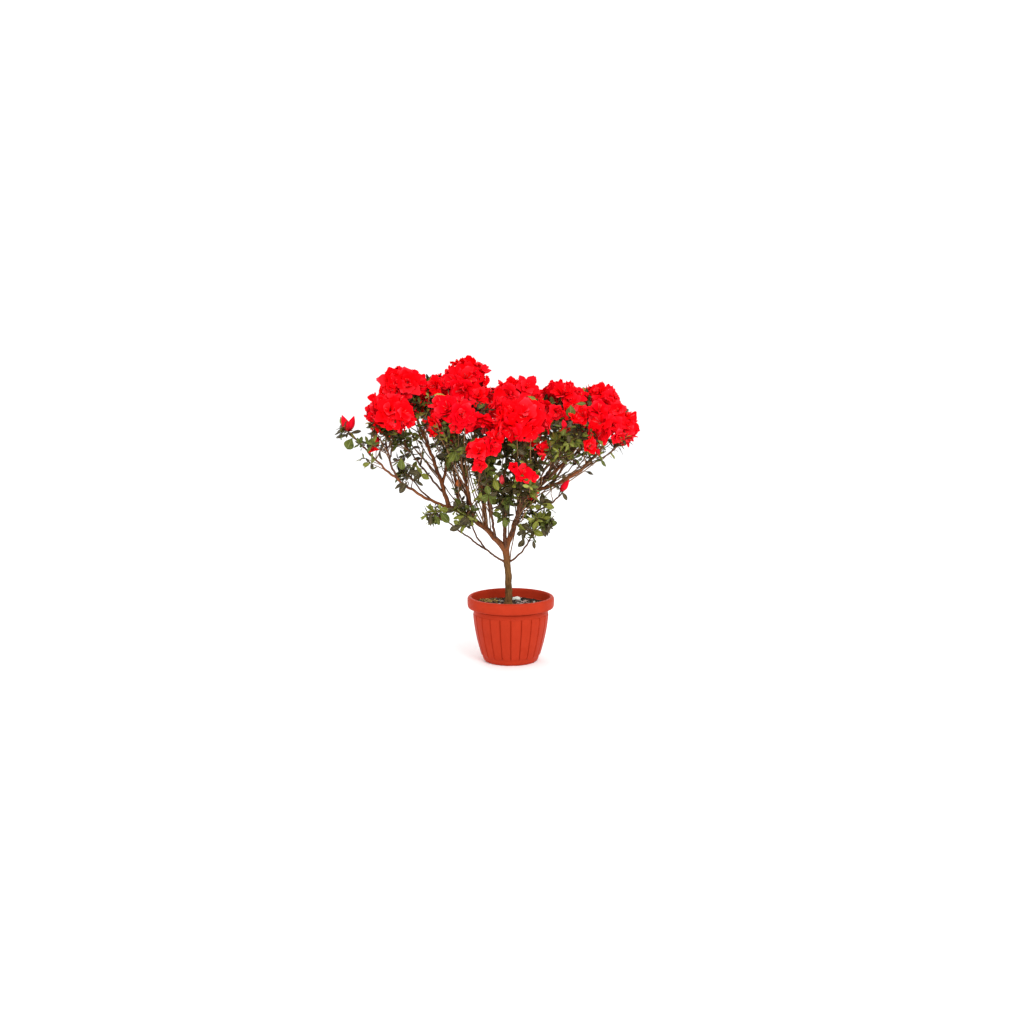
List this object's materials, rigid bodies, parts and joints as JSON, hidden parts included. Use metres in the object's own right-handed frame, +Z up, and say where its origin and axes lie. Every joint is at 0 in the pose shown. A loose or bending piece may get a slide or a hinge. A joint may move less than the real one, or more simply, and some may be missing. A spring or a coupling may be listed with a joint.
{
  "type": "potted azalea bonsai",
  "caption": "Azalea bonsai with one slim trunk, spreading boughs and a wide crown of ruffled red blossom over small dark leaves, growing in a fluted terracotta-coloured plastic pot.",
  "frame": {"origin": "centre of the pot's flat underside, on the surface that it stands on", "axes": "+Z up along the pot's axis, +X to the right in the front view, -Y towards the viewer"},
  "size_m": [0.6099, 0.3756, 0.6234],
  "materials": {
    "terracotta_plastic": "semi-gloss moulded terracotta-red plastic, lightly scuffed and dusty at the ledges",
    "soil": "loose dark potting mix with bark chips, pale grit and dry leaves",
    "trunk_bark": "rough olive-brown bark with fine lengthwise cracks",
    "bough_bark": "thin reddish-brown bark, paler on the upper sides",
    "blossom": "soft satin scarlet petals with deep red throats",
    "foliage": "small glossy dark green leaves with olive and yellow-green ones among them"
  },
  "bodies": {
    "root": {"back_centre_bough": "bough_bark", "back_centre_mass": "blossom", "back_left_bough": "bough_bark", "back_left_mass": "blossom", "back_mid_bough": "bough_bark", "back_mid_mass": "blossom", "back_right_bough": "bough_bark", "back_right_mass": "blossom", "centre_bough": "bough_bark", "centre_crown_mass": "blossom", "centre_front_mass": "blossom", "centre_low_bough": "bough_bark", "centre_low_mass": "blossom", "front_bough": "bough_bark", "front_left_bough": "bough_bark", "front_left_mass": "blossom", "front_low_bough": "bough_bark", "front_low_mass": "blossom", "front_right_bough": "bough_bark", "front_right_mass": "blossom", "inner_centre_bough": "bough_bark", "inner_centre_mass": "foliage", "inner_left_bough": "bough_bark", "inner_left_mass": "foliage", "left_bough": "bough_bark", "left_crown_mass": "blossom", "left_front_bough": "bough_bark", "left_front_mass": "blossom", "left_long_bough": "bough_bark", "left_riser_bough": "bough_bark", "left_shoulder_mass": "blossom", "left_spray_bough": "bough_bark", "left_spray_mass": "foliage", "left_tip_mass": "foliage", "left_under_bough": "bough_bark", "left_under_mass": "foliage", "left_upper_bough": "bough_bark", "low_inner_bough": "bough_bark", "low_inner_mass": "foliage", "low_left_bough": "bough_bark", "low_left_mass": "foliage", "low_right_bough": "bough_bark", "low_right_mass": "foliage", "pot": "terracotta_plastic", "right_bough": "bough_bark", "right_bud_bough": "bough_bark", "right_bud_mass": "foliage", "right_crown_bough": "bough_bark", "right_crown_mass": "blossom", "right_end_mass": "blossom", "right_low_bough": "bough_bark", "right_low_mass": "foliage", "right_mid_bough": "bough_bark", "right_mid_mass": "blossom", "right_outer_bough": "bough_bark", "soil": "soil", "tall_bough": "bough_bark", "tall_crown_mass": "blossom", "trunk": "trunk_bark"}
  },
  "joints": []
}
